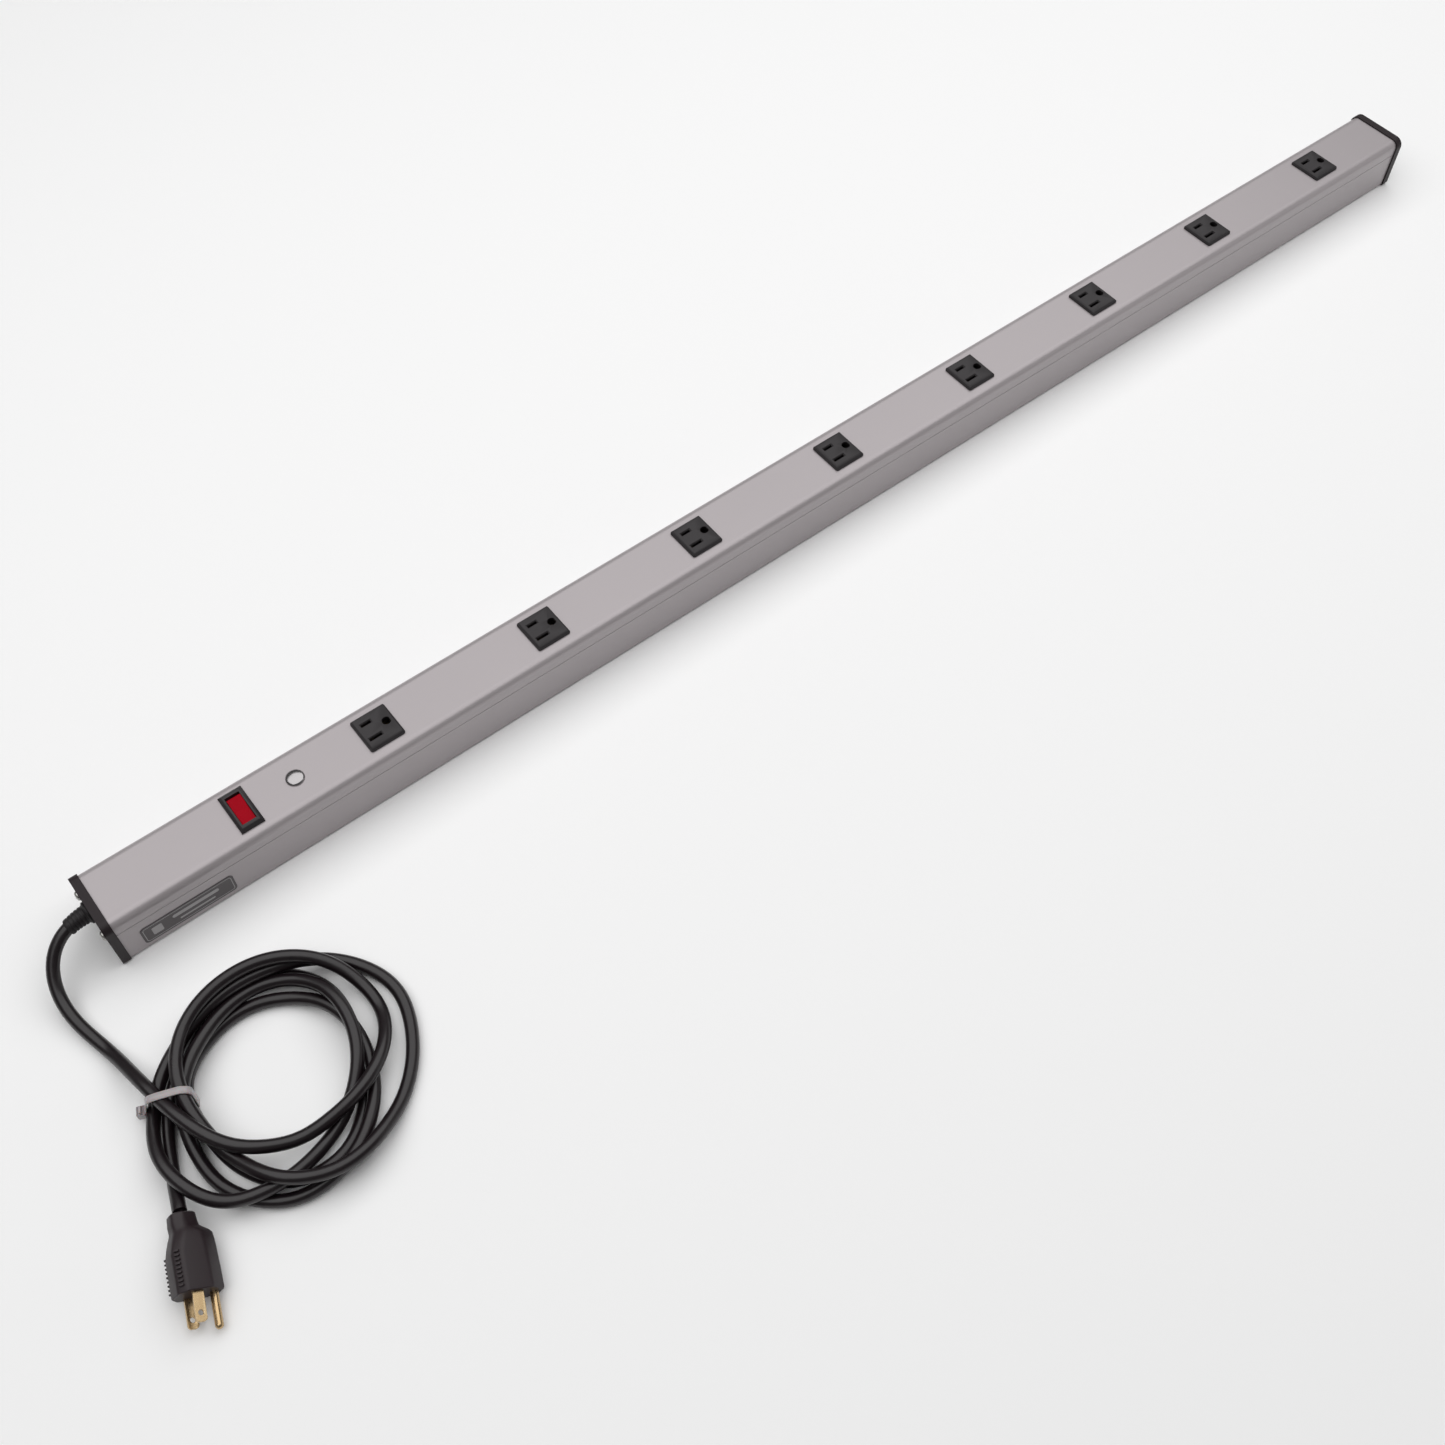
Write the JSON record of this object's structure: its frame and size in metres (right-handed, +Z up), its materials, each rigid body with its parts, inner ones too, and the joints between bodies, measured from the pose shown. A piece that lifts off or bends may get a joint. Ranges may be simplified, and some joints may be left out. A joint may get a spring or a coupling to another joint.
{
  "type": "power strip",
  "caption": "Long metal power strip with a row of grounded outlets, a lighted rocker switch at one end and a coiled, tied power cord with a three-prong plug.",
  "frame": {"origin": "centre of the housing underside, on the surface the strip stands on", "axes": "+X along the strip away from the cord end, +Y across it away from the labelled side, +Z up out of the outlets"},
  "size_m": [1.295, 0.2863, 0.0483],
  "materials": {
    "satin_aluminium": "satin anodised",
    "cap_plastic": "moulded, black",
    "plated_screws": "zinc plated, smooth",
    "outlet_plastic": "fine moulded, dark grey",
    "inner_plastic": "plain moulded",
    "brass_strip": "rolled strip",
    "fibre_paper": "pressed fibre sheet",
    "switch_plastic": "smooth black",
    "red_lens": "translucent red",
    "white_nylon": "turned",
    "spring_steel": "drawn wire",
    "lamp_glass": "clear tube",
    "chrome_dome": "polished",
    "label_film": "printed film, no lettering",
    "green_screw": "green dyed zinc",
    "black_wire": "PVC insulation",
    "white_wire": "PVC insulation",
    "green_wire": "PVC insulation",
    "strain_rubber": "moulded",
    "cord_jacket": "smooth PVC jacket, slight sheen",
    "tie_nylon": "natural nylon",
    "plug_rubber": "moulded PVC",
    "plug_brass": "stamped, satin"
  },
  "bodies": {
    "housing": {"base_channel": "satin_aluminium", "top_cover": "satin_aluminium", "cord_end_cap": "cap_plastic", "far_end_cap": "cap_plastic", "end_cap_screws": "plated_screws", "receptacle_1": "outlet_plastic", "receptacle_2": "outlet_plastic", "receptacle_3": "outlet_plastic", "receptacle_4": "outlet_plastic", "receptacle_5": "outlet_plastic", "receptacle_6": "outlet_plastic", "receptacle_7": "outlet_plastic", "receptacle_8": "outlet_plastic", "receptacle_backs": "inner_plastic", "hot_bus": "brass_strip", "neutral_bus": "brass_strip", "ground_bus": "brass_strip", "insulating_liner": "fibre_paper", "switch_housing": "switch_plastic", "switch_terminals": "brass_strip", "hole_plug": "chrome_dome", "label_plate": "label_film", "ground_screw": "green_screw", "ground_lug": "brass_strip", "line_wire": "black_wire", "load_wire": "black_wire", "neutral_wire": "white_wire", "ground_wire": "green_wire", "ground_jumper": "green_wire", "strain_relief": "strain_rubber", "cord_lead": "cord_jacket", "cord_coil": "cord_jacket", "plug_lead": "cord_jacket", "cable_tie": "tie_nylon", "plug_body": "plug_rubber", "hot_blade": "plug_brass", "neutral_blade": "plug_brass", "plug_ground_pin": "plug_brass"},
    "rocker": {"rocker": "red_lens", "plunger": "white_nylon", "plunger_spring": "spring_steel", "indicator_lamp": "lamp_glass"},
    "contact_arm": {"contact_arm": "brass_strip"}
  },
  "joints": [
    {"name": "rocker_tilt", "type": "hinge", "parent": "housing", "child": "rocker", "pos_m": [-0.501, 0, 0.039], "axis": [1, 0, 0], "range_deg": [-18, 0]},
    {"name": "contact_tilt", "type": "hinge", "parent": "housing", "child": "contact_arm", "pos_m": [-0.501, 0, 0.0276], "axis": [1, 0, 0], "range_deg": [0, 12]}
  ],
  "couplings": [
    {"joint": "contact_tilt", "follows": "rocker_tilt", "ratio": -0.6666}
  ]
}
